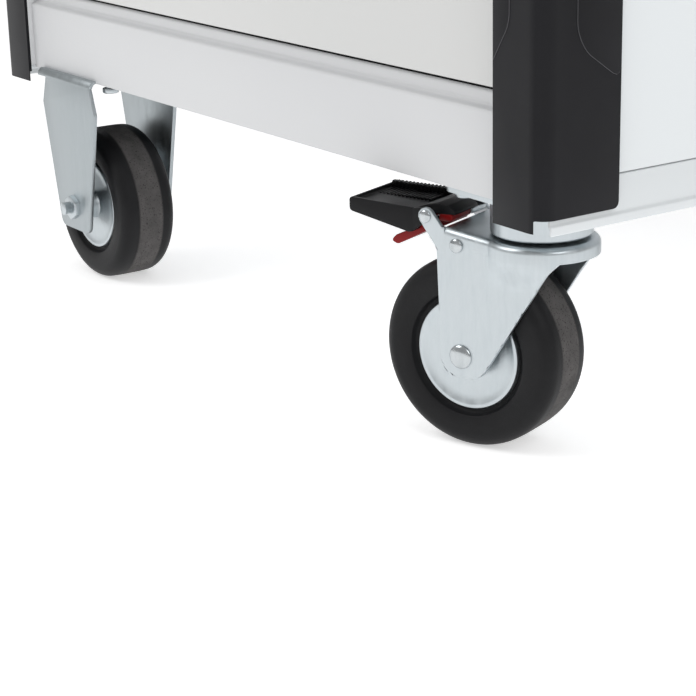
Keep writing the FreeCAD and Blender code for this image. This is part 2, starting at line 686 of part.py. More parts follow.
def locking_bar():
    """Flat bar behind the trays, lifted by the crank, and the hook welded to it for each drawer."""
    x0, x1 = crank_length - bar_width / 2, crank_length + bar_width / 2
    low = fronts_bottom + tray_rise
    pin_play = crank_length * 0.25
    window_top = lock_height + crank_pin + pin_play
    bar = box(x0, bar_front, low, x1, bar_front + bar_thickness, window_top + lug_sheet / 2)
    window = box(-crank_pin - 0.5, bar_front - 1, lock_height - crank_pin - 0.5,
                 crank_length + crank_pin + 0.5, bar_front + bar_thickness + 1, window_top)
    hooks = []
    tip_front = tray_back + lug_sheet
    for bottom, top in drawer_heights():
        lug_z = bottom + tray_rise + lug_lift
        arm_top = lug_z - lug_lip - 1 - crank_length
        x0, x1 = crank_length - lug_width / 2, crank_length + lug_width / 2
        arm = box(x0, tip_front, arm_top - lug_sheet, x1, bar_front - seat_gap, arm_top)
        tip = box(x0, tip_front, arm_top, x1, tip_front + lug_sheet, arm_top + hook_tip)
        hooks.append(fuse(arm, tip))
    return [bar.cut(window)] + hooks


# ---- push handle -----------------------------------------------------------------------------------
def push_handle():
    """Steel tube along the right side."""
    y = handle_length / 2
    tube = rod(handle_radius, (handle_x, -y, handle_height), (handle_x, y, handle_height))
    bore = rod(handle_radius - 2, (handle_x, -y - 1, handle_height), (handle_x, y + 1, handle_height))
    return tube.cut(bore)


def handle_bracket(y):
    """Cast bracket: a foot on the side panel, an arm and a ring round the tube."""
    half = bracket_width / 2
    foot = box(half_width, y - half, handle_height - bracket_foot / 2,
               half_width + bracket_foot_sheet, y + half, handle_height + bracket_foot / 2)
    arm = prism([(half_width, handle_height - bracket_arm / 2), (handle_x, handle_height - bracket_ring + 3),
                 (handle_x, handle_height + bracket_ring - 3), (half_width, handle_height + bracket_arm / 2)],
                "xz", y - half, y + half)
    ring = rod(bracket_ring, (handle_x, y - half, handle_height), (handle_x, y + half, handle_height))
    bore = rod(handle_radius, (handle_x, y - half - 1, handle_height), (handle_x, y + half + 1, handle_height))
    return fuse(foot, arm, ring).cut(bore)


# ---- assembly --------------------------------------------------------------------------------------
def drawer_heights():
    """Lower and upper edge of each drawer front, from the lowest up."""
    edges = []
    low = fronts_bottom
    for height in front_heights:
        edges.append((low, low + height))
        low += height + front_gap
    return edges


def at_swivel(shape, end):
    """Stands a part made about its swivel axis at the front (-1) or rear (1) right corner."""
    placed = shape.copy()
    placed.rotate(Vector(0, 0, 0), Vector(0, 0, 1), -end * swivel_turn)
    placed.translate(Vector(swivel_x, end * swivel_y, 0))
    return placed


def at_fixed(shape, end):
    """Stands a part made about its wheel axis at the front (-1) or rear (1) left corner."""
    placed = shape.copy() if end < 0 else mirror_y(shape)
    placed.translate(Vector(fixed_x, end * fixed_y, wheel_radius))
    return placed


save("base_pan", base_pan())
save("front_sill", front_sill())
save("side_panel_right", side_panel())
save("side_panel_left", mirror_x(side_panel()))
save("side_rail_right", side_rail())
save("side_rail_left", mirror_x(side_rail()))
save("back_panel", back_panel())
post = corner_post()
save("corner_posts", post, mirror_x(post), mirror_y(post), mirror_x(mirror_y(post)))
save("bumper_front_right", bumper())
save("bumper_front_left", mirror_x(bumper()))
save("bumper_rear_right", mirror_y(bumper()))
save("bumper_rear_left", mirror_x(mirror_y(bumper())))
save("top_frame", top_frame())
save("worktop", worktop())

outer_slides = []
for number, (low, high) in enumerate(drawer_heights(), 1):
    save("drawer_front_%d" % number, drawer_front(low, high))
    save("drawer_tray_%d" % number, *drawer_tray(low, high))
    save("slide_inner_%d" % number, inner_slide(low), mirror_x(inner_slide(low)))
    outer_slides += [outer_slide(low), mirror_x(outer_slide(low))]
save("slide_outers", *outer_slides)

fixed_axles = []
for end, place in ((-1, "front"), (1, "rear")):
    save("fixed_fork_" + place, at_fixed(fixed_fork(), end))
    fixed_axles.append(at_fixed(fixed_axle(), end))
    save("fixed_tyre_" + place, at_fixed(tyre(), end))
    save("fixed_hub_" + place, at_fixed(hub(fixed_fork_half - fork_sheet - side_play), end))

    plate = swivel_plate()
    plate.translate(Vector(swivel_x, end * swivel_y, 0))
    save("swivel_plate_" + place, plate)
    save("swivel_fork_" + place, at_swivel(swivel_fork(), end))
    save("fork_pins_" + place, *[at_swivel(pin, end) for pin in fork_pins()])
    save("brake_pedal_" + place, at_swivel(brake_pedal(), end))
    save("release_lever_" + place, at_swivel(release_lever(), end))
    save("brake_shoe_" + place, at_swivel(brake_shoe(), end))
    save("swivel_tyre_" + place, at_swivel(along_y(tyre(), -swivel_trail, wheel_radius), end))
    bush = swivel_fork_half - fork_sheet - side_play
    save("swivel_hub_" + place, at_swivel(along_y(hub(bush), -swivel_trail, wheel_radius), end))
save("castor_bolts", *[castor_bolt(x, y) for x, y in bolt_places()])
save("fixed_axles", *fixed_axles)

save("lock_housing", lock_housing())
save("key", key())
save("lock_shaft", lock_shaft())
save("locking_bar", *locking_bar())
save("push_handle", push_handle())
save("handle_brackets", handle_bracket(-bracket_spacing / 2), handle_bracket(bracket_spacing / 2))
print("overall height %.1f, origin shift %.2f" % (bench_top, origin_shift))
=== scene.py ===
import json
import math
import bmesh
import bpy
from mathutils import Matrix, Vector

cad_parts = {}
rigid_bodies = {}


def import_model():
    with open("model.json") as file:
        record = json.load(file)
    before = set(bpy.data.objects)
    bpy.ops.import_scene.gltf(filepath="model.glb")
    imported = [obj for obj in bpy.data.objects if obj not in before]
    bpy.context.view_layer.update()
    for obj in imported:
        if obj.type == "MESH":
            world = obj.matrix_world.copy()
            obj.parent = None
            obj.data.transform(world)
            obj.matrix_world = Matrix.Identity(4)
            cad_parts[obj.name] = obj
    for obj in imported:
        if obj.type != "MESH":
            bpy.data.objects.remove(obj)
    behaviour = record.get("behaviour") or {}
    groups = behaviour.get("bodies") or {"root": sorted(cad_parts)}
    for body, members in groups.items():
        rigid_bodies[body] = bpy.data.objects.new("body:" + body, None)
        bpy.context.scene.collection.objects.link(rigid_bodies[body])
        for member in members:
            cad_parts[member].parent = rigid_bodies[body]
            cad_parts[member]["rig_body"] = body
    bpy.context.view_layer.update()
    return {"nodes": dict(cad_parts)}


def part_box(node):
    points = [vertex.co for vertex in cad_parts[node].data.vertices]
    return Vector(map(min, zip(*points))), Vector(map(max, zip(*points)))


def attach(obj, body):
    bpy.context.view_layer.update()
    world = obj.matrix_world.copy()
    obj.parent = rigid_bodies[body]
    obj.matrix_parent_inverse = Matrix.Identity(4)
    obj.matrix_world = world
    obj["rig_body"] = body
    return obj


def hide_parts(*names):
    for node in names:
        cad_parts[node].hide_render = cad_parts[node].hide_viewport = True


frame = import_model()

# ==== Camera, floor and light =======================================================================
# A long lens looks down at the lower front corner, past the braked swivel castor to the fixed one.
# The bench stands on a smooth pale floor in even light, with one larger light at the upper left.


def srgb(code):
    """Linear colour of an sRGB hex value."""
    channels = [int(code[i:i + 2], 16) / 255 for i in (0, 2, 4)]
    return [c / 12.92 if c <= 0.04045 else ((c + 0.055) / 1.055) ** 2.4 for c in channels] + [1.0]


def add_node(material, kind, settings, links):
    """Adds a node, sets its properties and inputs, and joins other nodes' outputs to its inputs."""
    node = material.node_tree.nodes.new(kind)
    for key, value in settings.items():
        if isinstance(key, int) or key in node.inputs:
            node.inputs[key].default_value = value
        else:
            setattr(node, key, value)
    for key, source in links.items():
        material.node_tree.links.new(source, node.inputs[key])
    return node


def new_material(name):
    """An empty node material."""
    material = bpy.data.materials.new(name)
    material.use_nodes = True
    material.node_tree.nodes.clear()
    return material


bpy.ops.object.select_all(action="DESELECT")
yaw, pitch, roll = math.radians(55.74), math.radians(18.02), math.radians(-1.35)
ahead = Vector((-math.sin(yaw) * math.cos(pitch), math.cos(yaw) * math.cos(pitch), -math.sin(pitch)))
level = ahead.cross(Vector((0, 0, 1))).normalized()
upright = level.cross(ahead)
right = math.cos(roll) * level + math.sin(roll) * upright
above = -math.sin(roll) * level + math.cos(roll) * upright
bpy.ops.object.camera_add()
camera = bpy.context.object
camera.matrix_world = (Matrix.Translation((1.16825, -0.981, 0.4499))
                       @ Matrix((right, above, -ahead)).transposed().to_4x4())
camera.data.sensor_width = 36
camera.data.lens = 101.45
bpy.context.scene.camera = camera
bpy.context.scene.view_settings.view_transform = "Standard"

bpy.ops.mesh.primitive_plane_add(size=90)
floor = bpy.context.object
floor.name = "floor"
floor_paint = new_material("pale_studio_floor")
floor_paint_place = add_node(floor_paint, "ShaderNodeTexCoord", {}, {})
floor_paint_cloud = add_node(floor_paint, "ShaderNodeTexNoise", {"Scale": 3.0, "Detail": 2.0},
                             {"Vector": floor_paint_place.outputs["Object"]})
floor_paint_tone = add_node(floor_paint, "ShaderNodeMix",
                            {"data_type": "RGBA", 6: srgb("F6F6F6"), 7: srgb("FAFAFA")},
                            {0: floor_paint_cloud.outputs["Fac"]})
floor_paint_shader = add_node(floor_paint, "ShaderNodeBsdfPrincipled",
                              {"Roughness": 0.9, "Emission Color": srgb("FFFFFF"),
                               "Emission Strength": 0.5},
                              {"Base Color": floor_paint_tone.outputs[2]})
add_node(floor_paint, "ShaderNodeOutputMaterial", {}, {"Surface": floor_paint_shader.outputs[0]})
floor.data.materials.append(floor_paint)

world = bpy.data.worlds.new("studio")
world.use_nodes = True
world.node_tree.nodes["Background"].inputs["Color"].default_value = (1.0, 1.0, 1.0, 1.0)
world.node_tree.nodes["Background"].inputs["Strength"].default_value = 0.46
bpy.context.scene.world = world
lit_spot = Vector((0, 0, 0.3))
for light_name, light_place, light_size, light_power in (
        ("key_light", (-1.6, -3.2, 3.4), 2.4, 62.0), ("side_light", (3.4, -0.4, 2.6), 2.2, 34.0)):
    bpy.ops.object.light_add(type="AREA", location=light_place)
    lamp = bpy.context.object
    lamp.name = light_name
    lamp.data.size = light_size
    lamp.data.energy = light_power
    lamp.rotation_euler = (lit_spot - Vector(light_place)).to_track_quat("-Z", "Y").to_euler()

# ==== Base pan, side rails, posts, side and back panels ===============================================
# Folded and welded sheet steel, powder coated light grey inside and white outside.  Cut edges are
# slightly rounded by the coat, which has the fine ripple that sprayed and baked powder leaves.

# Points closer than a thousandth of a millimetre are the same point.
same_point = 1e-6


def free():
    """Lets go of everything."""
    if bpy.context.object and bpy.context.object.mode != "OBJECT":
        bpy.ops.object.mode_set(mode="OBJECT")
    bpy.ops.object.select_all(action="DESELECT")


def grab(piece):
    """Selects one piece and makes it the active one."""
    free()
    piece.select_set(True)
    bpy.context.view_layer.objects.active = piece


def soften(piece, width, segments=2, angle=35):
    """Rounds the piece's sharp edges and shades it smooth between those that stay."""
    grab(piece)
    rounding = piece.modifiers.new("rounding", "BEVEL")
    rounding.width = width
    rounding.segments = segments
    rounding.limit_method = "ANGLE"
    rounding.angle_limit = math.radians(angle)
    bpy.ops.object.modifier_apply(modifier="rounding")
    bpy.ops.object.shade_smooth_by_angle(angle=math.radians(angle))


def settle(piece, name, body, nodes, material=None):
    """Names a finished piece, gives it its material, fixes it to the body it moves with and hides the CAD
    nodes it stands for.
    """
    piece.name = name
    if material:
        piece.data.materials.clear()
        piece.data.materials.append(material)
    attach(piece, body)
    if nodes:
        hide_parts(*nodes)
    return piece


def from_node(node, name, width, material, segments=2):
    """A CAD node's shape with its triangles joined and its edges rounded, as its own piece."""
    body = frame["nodes"][node]["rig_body"]
    piece = bpy.data.objects.new(name, frame["nodes"][node].data.copy())
    bpy.context.scene.collection.objects.link(piece)
    grab(piece)
    bpy.ops.object.mode_set(mode="EDIT")
    bpy.ops.mesh.select_all(action="SELECT")
    bpy.ops.mesh.remove_doubles(threshold=same_point)
    bpy.ops.mesh.dissolve_limited(angle_limit=math.radians(0.5))
    bpy.ops.object.mode_set(mode="OBJECT")
    soften(piece, width, segments)
    return settle(piece, name, body, [node], material)


def powder_coat(name, light, dark, gloss):
    """Baked powder paint: slow drift in tone, 1.6 mm ripple, and a little dust that dulls it."""
    paint = new_material(name)
    place = add_node(paint, "ShaderNodeTexCoord", {}, {})
    drift = add_node(paint, "ShaderNodeTexNoise", {"Scale": 1 / 0.22, "Detail": 2.0},
                     {"Vector": place.outputs["Object"]})
    ripple = add_node(paint, "ShaderNodeTexNoise", {"Scale": 1 / 0.0016, "Detail": 3.0, "Roughness": 0.55},
                      {"Vector": place.outputs["Object"]})
    tone = add_node(paint, "ShaderNodeMix", {"data_type": "RGBA", 6: srgb(light), 7: srgb(dark)},
                    {0: drift.outputs["Fac"]})
    dull = add_node(paint, "ShaderNodeMapRange", {"From Min": 0.3, "From Max": 0.7, "To Min": gloss - 0.04,
                                                  "To Max": gloss + 0.06}, {"Value": ripple.outputs["Fac"]})
    bump = add_node(paint, "ShaderNodeBump", {"Strength": 0.12, "Distance": 0.0002},
                    {"Height": ripple.outputs["Fac"]})
    shader = add_node(paint, "ShaderNodeBsdfPrincipled", {"IOR": 1.5},
                      {"Base Color": tone.outputs[2], "Roughness": dull.outputs["Result"],
                       "Normal": bump.outputs["Normal"]})
    add_node(paint, "ShaderNodeOutputMaterial", {}, {"Surface": shader.outputs[0]})
    return paint


grey_coat = powder_coat("powder_coated_steel_light_grey", "D8D9DA", "D3D4D6", 0.42)
white_coat = powder_coat("powder_coated_steel_white", "E6EAEC", "E2E6E8", 0.34)
from_node("base_pan", "base_pan_sheet", 0.0004, grey_coat)
from_node("corner_posts", "corner_post_sections", 0.0008, grey_coat)
for side in ("left", "right"):
    from_node("side_rail_" + side, "side_rail_sheet_" + side, 0.0006, white_coat)
    from_node("side_panel_" + side, "side_panel_sheet_" + side, 0.0006, white_coat)
from_node("back_panel", "back_panel_sheet", 0.0005, white_coat)

# ==== Front sill ====================================================================================
# The rail under the lowest drawer, folded from one sheet: a flat front, and a top edge stepped
# back in a cove so that the drawer front clears it.


def pick(piece, kind, test):
    """Selects, in edit mode, the vertices, edges or faces whose corners and normal pass the test."""
    bpy.ops.mesh.select_mode(type=kind)
    bpy.ops.mesh.select_all(action="DESELECT")
    work = bmesh.from_edit_mesh(piece.data)
    items = {"VERT": work.verts, "EDGE": work.edges, "FACE": work.faces}[kind]
    for item in items:
        corners = [item.co] if kind == "VERT" else [v.co for v in item.verts]
        item.select_set(bool(test(corners, None if kind == "EDGE" else item.normal)))
    work.select_flush_mode()
    bmesh.update_edit_mesh(piece.data)


def bent_sheet(name, line, start, end, thickness, bend):
    """A sheet folded along X: its outer line of (y, z) points drawn out run by run, then given its
    folds and its thickness, which goes to the line's left."""
    free()
    bpy.ops.mesh.primitive_plane_add(size=1)
    piece = bpy.context.object
    piece.name = name
    for vertex in piece.data.vertices:
        y, z = line[0] if vertex.co.y < 0 else line[1]
        vertex.co = (start if vertex.co.x < 0 else end, y, z)
    bpy.ops.object.mode_set(mode="EDIT")
    for (y0, z0), (y1, z1) in zip(line[1:], line[2:]):
        pick(piece, "EDGE", lambda c, n: all(abs(v.y - y0) + abs(v.z - z0) < same_point for v in c))
        bpy.ops.mesh.extrude_edges_move(TRANSFORM_OT_translate={"value": (0, y1 - y0, z1 - z0)})
    for (y, z), radius in zip(line[1:-1], bend):
        pick(piece, "EDGE", lambda c, n: all(abs(v.y - y) + abs(v.z - z) < same_point for v in c))
        bpy.ops.mesh.bevel(offset=radius, offset_type="OFFSET", segments=6, affect="EDGES")
    bpy.ops.mesh.select_all(action="SELECT")
    bpy.ops.mesh.normals_make_consistent(inside=False)
    bpy.ops.object.mode_set(mode="OBJECT")
    # The sheet's faces are turned so that they look away from the line's left.
    y0, z0, y1, z1 = *line[0], *line[1]
    near = min(piece.data.polygons,
               key=lambda p: abs(p.center.y - (y0 + y1) / 2) + abs(p.center.z - (z0 + z1) / 2))
    if near.normal.dot(Vector((0, -(z1 - z0), y1 - y0))) > 0:
        piece.data.flip_normals()
    grab(piece)
    wall = piece.modifiers.new("wall", "SOLIDIFY")
    wall.thickness = thickness
    wall.offset = -1
    wall.use_even_offset = True
    bpy.ops.object.modifier_apply(modifier="wall")
    soften(piece, 0.0002, 2, 50)
    return piece


sheet = 0.0015
sill_low, sill_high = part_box("front_sill")
sill_bead = sill_high.z - 0.0106
sill_step = sill_low.y + 0.0035
sill_back = sill_low.y + 0.0065
sill_hem = sill_back + 0.0032
sill = bent_sheet("front_sill_sheet",
                  [(sill_low.y, sill_low.z), (sill_low.y, sill_bead), (sill_step, sill_bead + 0.0011),
                   (sill_back, sill_bead + 0.0038), (sill_back, sill_high.z), (sill_hem, sill_high.z),
                   (sill_hem, sill_high.z - 0.015)],
                  sill_low.x, sill_high.x, sheet, [0.0007, 0.0012, 0.0012, 0.0012, 0.001])
settle(sill, "front_sill_sheet", "cabinet", ["front_sill"], grey_coat)
# The faces of the step get a near-white copy of the coat: a painted highlight along the fold.
sill.data.materials.append(powder_coat("powder_coat_thin_on_fold", "FAFAFA", "F2F2F2", 0.3))
for face in sill.data.polygons:
    if (abs(face.center.z - sill_bead - 0.0004) < 0.0012 and sill_low.y + 0.0001 < face.center.y < sill_step
            and abs(face.normal.x) < 0.5 and face.normal.z > 0.2):
        face.material_index = 1

# ==== Drawers =======================================================================================
# Five full-width fronts folded from light grey coated sheet, each with a finger recess along its top, on
# grey coated trays that run on zinc plated slides.


def flat(name, corners, place):
    """A flat outline: a disc whose points are moved to the corners, each rounded by its radius.
    place turns (u, v) into a point."""
    free()
    bpy.ops.mesh.primitive_circle_add(vertices=len(corners), fill_type="NGON")
    piece = bpy.context.object
    piece.name = name
    for vertex, corner in zip(piece.data.vertices, corners):
        vertex.co = place(corner[0], corner[1])
    bpy.ops.object.mode_set(mode="EDIT")
    for i, corner in enumerate(corners):
        if len(corner) < 3:
            continue
        here = Vector(corner[:2])
        before = (Vector(corners[i - 1][:2]) - here).normalized()
        after = (Vector(corners[(i + 1) % len(corners)][:2]) - here).normalized()
        reach = corner[2] / math.tan(before.angle(after) / 2)
        spot = place(*corner[:2])
        pick(piece, "VERT", lambda c, n: (c[0] - spot).length < same_point)
        bpy.ops.mesh.bevel(offset=reach, offset_type="OFFSET", segments=max(3, int(corner[2] * 700)),
                           profile=0.5, affect="VERTICES")
    bpy.ops.object.mode_set(mode="OBJECT")
    return piece


def draw_out(piece, way):
    """Gives a flat outline its depth."""
    grab(piece)
    bpy.ops.object.mode_set(mode="EDIT")
    bpy.ops.mesh.select_all(action="SELECT")
    bpy.ops.mesh.extrude_region_move(TRANSFORM_OT_translate={"value": way})
    bpy.ops.mesh.select_all(action="SELECT")
    bpy.ops.mesh.normals_make_consistent(inside=False)
    bpy.ops.object.mode_set(mode="OBJECT")
    return piece


def join(name, pieces):
    """Joins pieces into one."""
    grab(pieces[0])
    for piece in pieces[1:]:
        piece.select_set(True)
    bpy.ops.object.join()
    pieces[0].name = name
    return pieces[0]


front_coat = powder_coat("powder_coated_steel_drawer_grey", "D6D6D5", "D1D2D1", 0.34)
tray_coat = powder_coat("powder_coated_steel_tray_grey", "B9BBBB", "B3B5B5", 0.5)
drawers = range(1, 6)
recess_depth, recess_height = 0.015, 0.026
for number in drawers:
    low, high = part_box("drawer_front_%d" % number)
    face, back = low.y, low.y + recess_depth
    recess = high.z - recess_height
    front = bent_sheet("drawer_front", [
        (back + sheet, low.z), (face, low.z), (face, recess), (back, recess + 0.008),
        (back, high.z - sheet), (face + sheet, high.z - sheet), (face + sheet, high.z - 0.008)],
        low.x, high.x, -sheet, [0.0018, 0.003, 0.002, 0.002, 0.002])
    ends = []
    for x in (low.x, high.x - sheet):
        end = flat("drawer_end", [(face + 0.0013, low.z + 0.0012), (back + sheet, low.z + 0.0012),
                                  (back + sheet, high.z - 0.0018), (back - 0.0005, high.z - 0.0018),
                                  (back - 0.0005, recess + 0.009), (face + 0.0013, recess + 0.0005)],
                   lambda u, v: Vector((x, u, v)))
        draw_out(end, (sheet, 0, 0))
        ends.append(end)
    front = join("drawer_front", [front] + ends)
    settle(front, "drawer_front_sheet_%d" % number, "drawer_%d" % number,
           ["drawer_front_%d" % number], front_coat)
    from_node("drawer_tray_%d" % number, "drawer_tray_sheet_%d" % number, 0.0003, tray_coat)

# ==== Sill gap shadow strip =========================================================================
# A near-black strip laid along the top of the sill, behind its step: a painted shadow, a dark sheet
# put where the gap under the lowest drawer front has only shade.


def moulded_plastic(name, light, dark, gloss, grain):
    """Moulded plastic: an even colour, a fine spark-eroded grain, and rubbed patches a little glossier."""
    plastic = new_material(name)
    place = add_node(plastic, "ShaderNodeTexCoord", {}, {})
    fine = add_node(plastic, "ShaderNodeTexNoise", {"Scale": 1 / grain, "Detail": 4.0, "Roughness": 0.6},
                    {"Vector": place.outputs["Object"]})
    rubbed = add_node(plastic, "ShaderNodeTexNoise", {"Scale": 1 / 0.06, "Detail": 3.0},
                      {"Vector": place.outputs["Object"]})
    tone = add_node(plastic, "ShaderNodeMix", {"data_type": "RGBA", 6: srgb(dark), 7: srgb(light)},
                    {0: rubbed.outputs["Fac"]})
    dull = add_node(plastic, "ShaderNodeMapRange",
                    {"From Min": 0.35, "From Max": 0.65, "To Min": gloss + 0.03, "To Max": gloss - 0.03},
                    {"Value": rubbed.outputs["Fac"]})
    bump = add_node(plastic, "ShaderNodeBump", {"Strength": 0.25, "Distance": 0.0001},
                    {"Height": fine.outputs["Fac"]})
    shader = add_node(plastic, "ShaderNodeBsdfPrincipled", {"IOR": 1.49, "Specular IOR Level": 0.2},
                      {"Base Color": tone.outputs[2], "Roughness": dull.outputs["Result"],
                       "Normal": bump.outputs["Normal"]})
    add_node(plastic, "ShaderNodeOutputMaterial", {}, {"Surface": shader.outputs[0]})
    return plastic


# Near-black plastic for the strip on the sill: a painted shadow in the gap under the lowest drawer.
gap_shadow_black = moulded_plastic("black_foam_seal", "0C0C0D", "060607", 0.9, 0.0012)
gap_shadow_front, gap_shadow_top = sill_back + 0.0004, sill_high.z + 0.0021
seal = flat("seal", [(gap_shadow_front, sill_high.z + 0.0001), (gap_shadow_front, gap_shadow_top, 0.0006),
                     (sill_high.y, gap_shadow_top, 0.0006), (sill_high.y, sill_high.z + 0.0001)],
            lambda u, v: Vector((sill_low.x + 0.002, u, v)))
draw_out(seal, (sill_high.x - sill_low.x - 0.004, 0, 0))
soften(seal, 0.0003, 2, 50)
settle(seal, "sill_seal_strip", "cabinet", [], gap_shadow_black)

# ==== Corner bumpers ================================================================================
# Angles of black polypropylene over each corner post, moulded with a fine spark-eroded grain and a
# raised pad on each wing whose edge sweeps down in an S.


def cut_by(piece, tool, operation):
    """Cuts, joins or trims a piece by another, which is used up."""
    grab(piece)
    cut = piece.modifiers.new("cut", "BOOLEAN")
    cut.operation = operation
    cut.solver = "EXACT"
    cut.object = tool
    bpy.ops.object.modifier_apply(modifier="cut")
    bpy.data.objects.remove(tool)
    return piece


def fit(piece, name, place, body, nodes):
    """Copies a modelled piece to its place, with its own mesh."""
    copied = bpy.data.objects.new(name, piece.data.copy())
    bpy.context.scene.collection.objects.link(copied)
    copied.data.transform(place)
    if place.is_negative:
        copied.data.flip_normals()
    copied.data.update()
    return settle(copied, name, body, nodes)


black_pp = moulded_plastic("moulded_black_polypropylene", "15151A", "111114", 0.42, 0.0005)
low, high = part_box("bumper_front_right")
side_wall, front_wall = 0.003, 0.0025
bumper = flat("bumper", [(low.x, low.y), (high.x, low.y, 0.0115), (high.x, high.y),
                         (high.x - side_wall, high.y),
                         (high.x - side_wall, low.y + front_wall, 0.008), (low.x, low.y + front_wall)],
              lambda u, v: Vector((u, v, low.z)))
draw_out(bumper, (0, 0, high.z - low.z))
# The front face reaches 8 mm lower than the side wing, whose far corners are round.
wing_foot, clear = low.z + 0.008, 0.01
tool = flat("tool", [(low.y - clear, low.z - clear), (low.y + 0.0008, low.z - clear),
                     (low.y + 0.0008, wing_foot, 0.0006), (high.y, wing_foot, 0.004),
                     (high.y, high.z, 0.004), (low.y - clear, high.z)],
            lambda u, v: Vector((low.x - clear, u, v)))
draw_out(tool, (high.x - low.x + 2 * clear, 0, 0))
cut_by(bumper, tool, "INTERSECT")
soften(bumper, 0.0009, 3, 60)
pads = []
length = high.z - low.z
pad_sunk, pad_depth = 0.0005, 0.0011
side_pad = [(0.0257, 0.108, 0.026), (0.0595, 0.0845, 0.004), (0.0595, length - 0.0845, 0.004),
            (0.0257, length - 0.108, 0.026)]
front_pad = [(0.0155, 0.120, 0.02), (0.0155, length - 0.120, 0.02),
             (0.0006, length - 0.097), (0.0006, 0.097)]
pad = flat("pad", side_pad, lambda u, v: Vector((high.x - pad_sunk, low.y + u, low.z + v)))
pads.append(draw_out(pad, (pad_depth, 0, 0)))
pad = flat("pad", front_pad, lambda u, v: Vector((low.x + u, low.y + pad_sunk, low.z + v)))
pads.append(draw_out(pad, (0, -pad_depth, 0)))
for pad in pads:
    soften(pad, 0.0005, 3, 50)
    cut_by(bumper, pad, "UNION")
grab(bumper)
bpy.ops.object.shade_smooth_by_angle(angle=math.radians(50))
bumper.data.materials.clear()
bumper.data.materials.append(black_pp)
# The pads' rounded edges get a paler grey copy of the plastic: a painted highlight along the S-shaped step.
pad_edge_highlight_paint = moulded_plastic("polypropylene_edge_rubbed_pale", "5A5A5D", "4C4C4F", 0.5, 0.0005)
bumper.data.materials.append(pad_edge_highlight_paint)
for face in bumper.data.polygons:
    # The rounded edges of the pads stand proud of the wings and look sideways; they get the painted
    # highlight.
    on_side = face.center.x > high.x + 0.00004 and face.normal.x < 0.96
    on_front = face.center.y < low.y - 0.00004 and face.normal.y > -0.96
    if (on_side or on_front) and low.z + 0.02 < face.center.z < high.z - 0.02:
        face.material_index = 1
panel_low, panel_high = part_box("top_frame")
middle = Matrix.Translation(((panel_low.x + panel_high.x) / 2, 0, 0))
flip_x = middle @ Matrix.Diagonal((-1, 1, 1, 1)) @ middle.inverted()
flip_y = Matrix.Diagonal((1, -1, 1, 1))
for corner_name, place in (("front_right", Matrix.Identity(4)), ("front_left", flip_x),
                           ("rear_right", flip_y), ("rear_left", flip_x @ flip_y)):
    fit(bumper, "bumper_moulding_" + corner_name, place, "cabinet",
        ["bumper_" + corner_name])
bpy.data.objects.remove(bumper)

# ==== Top frame and worktop =========================================================================
# A shallow coated tray under a 35 mm beech slab, glued from staves about 42 mm wide, sanded, oiled,
# with its corners and edges rounded.
from_node("top_frame", "top_frame_sheet", 0.0005, white_coat)
low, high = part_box("worktop")
corner_round = 0.012
slab = flat("worktop_slab", [(low.x, low.y, corner_round), (high.x, low.y, corner_round),
                             (high.x, high.y, corner_round), (low.x, high.y, corner_round)],
            lambda u, v: Vector((u, v, low.z)))
draw_out(slab, (0, 0, high.z - low.z))
soften(slab, 0.0025, 4, 50)

beech = new_material("oiled_beech_staves")
place = add_node(beech, "ShaderNodeTexCoord", {}, {})
staves = add_node(beech, "ShaderNodeTexBrick", {"Scale": 1.0, "Brick Width": 0.42, "Row Height": 0.042,
                                                "Mortar Size": 0.00035, "Mortar Smooth": 0.2, "Bias": 0.0,
                                                "Color1": srgb("D9AF7B"), "Color2": srgb("C39560"),
                                                "Mortar": srgb("8A6238"), "offset": 0.37},
                  {"Vector": place.outputs["Object"]})
# Grain lines run along the staves, 1.1 mm apart and about 60 mm long, and each stave has its own.
stretch = add_node(beech, "ShaderNodeMapping", {"Scale": (1 / 0.06, 1 / 0.0011, 1 / 0.0011)},
                   {"Vector": place.outputs["Object"]})
shift = add_node(beech, "ShaderNodeVectorMath", {"operation": "ADD"},
                 {0: stretch.outputs["Vector"], 1: staves.outputs["Color"]})
grain = add_node(beech, "ShaderNodeTexNoise",
                 {"Scale": 1.0, "Detail": 4.0, "Roughness": 0.6, "Distortion": 0.3},
                 {"Vector": shift.outputs["Vector"]})
# Beech is flecked with short dark rays, about 2 mm long.
flecks = add_node(beech, "ShaderNodeMapping", {"Scale": (1 / 0.0022, 1 / 0.0006, 1 / 0.0006)},
                  {"Vector": place.outputs["Object"]})
rays = add_node(beech, "ShaderNodeTexNoise", {"Scale": 1.0, "Detail": 1.0},
                {"Vector": flecks.outputs["Vector"]})
ray_mask = add_node(beech, "ShaderNodeMapRange",
                    {"From Min": 0.64, "From Max": 0.72, "To Min": 0.0, "To Max": 0.5},
                    {"Value": rays.outputs["Fac"]})
dark = add_node(beech, "ShaderNodeMapRange",
                {"From Min": 0.35, "From Max": 0.7, "To Min": 0.0, "To Max": 0.55},
                {"Value": grain.outputs["Fac"]})
grained = add_node(beech, "ShaderNodeMix", {"data_type": "RGBA", 7: srgb("A9773F")},
                   {0: dark.outputs["Result"], 6: staves.outputs["Color"]})
flecked = add_node(beech, "ShaderNodeMix", {"data_type": "RGBA", 7: srgb("9A6A38")},
                   {0: ray_mask.outputs["Result"], 6: grained.outputs[2]})
sheen = add_node(beech, "ShaderNodeMapRange",
                 {"From Min": 0.3, "From Max": 0.7, "To Min": 0.42, "To Max": 0.56},
                 {"Value": grain.outputs["Fac"]})
bump = add_node(beech, "ShaderNodeBump", {"Strength": 0.25, "Distance": 0.0002},
                {"Height": grain.outputs["Fac"]})
shader = add_node(beech, "ShaderNodeBsdfPrincipled", {"IOR": 1.5},
                  {"Base Color": flecked.outputs[2], "Roughness": sheen.outputs["Result"],
                   "Normal": bump.outputs["Normal"]})
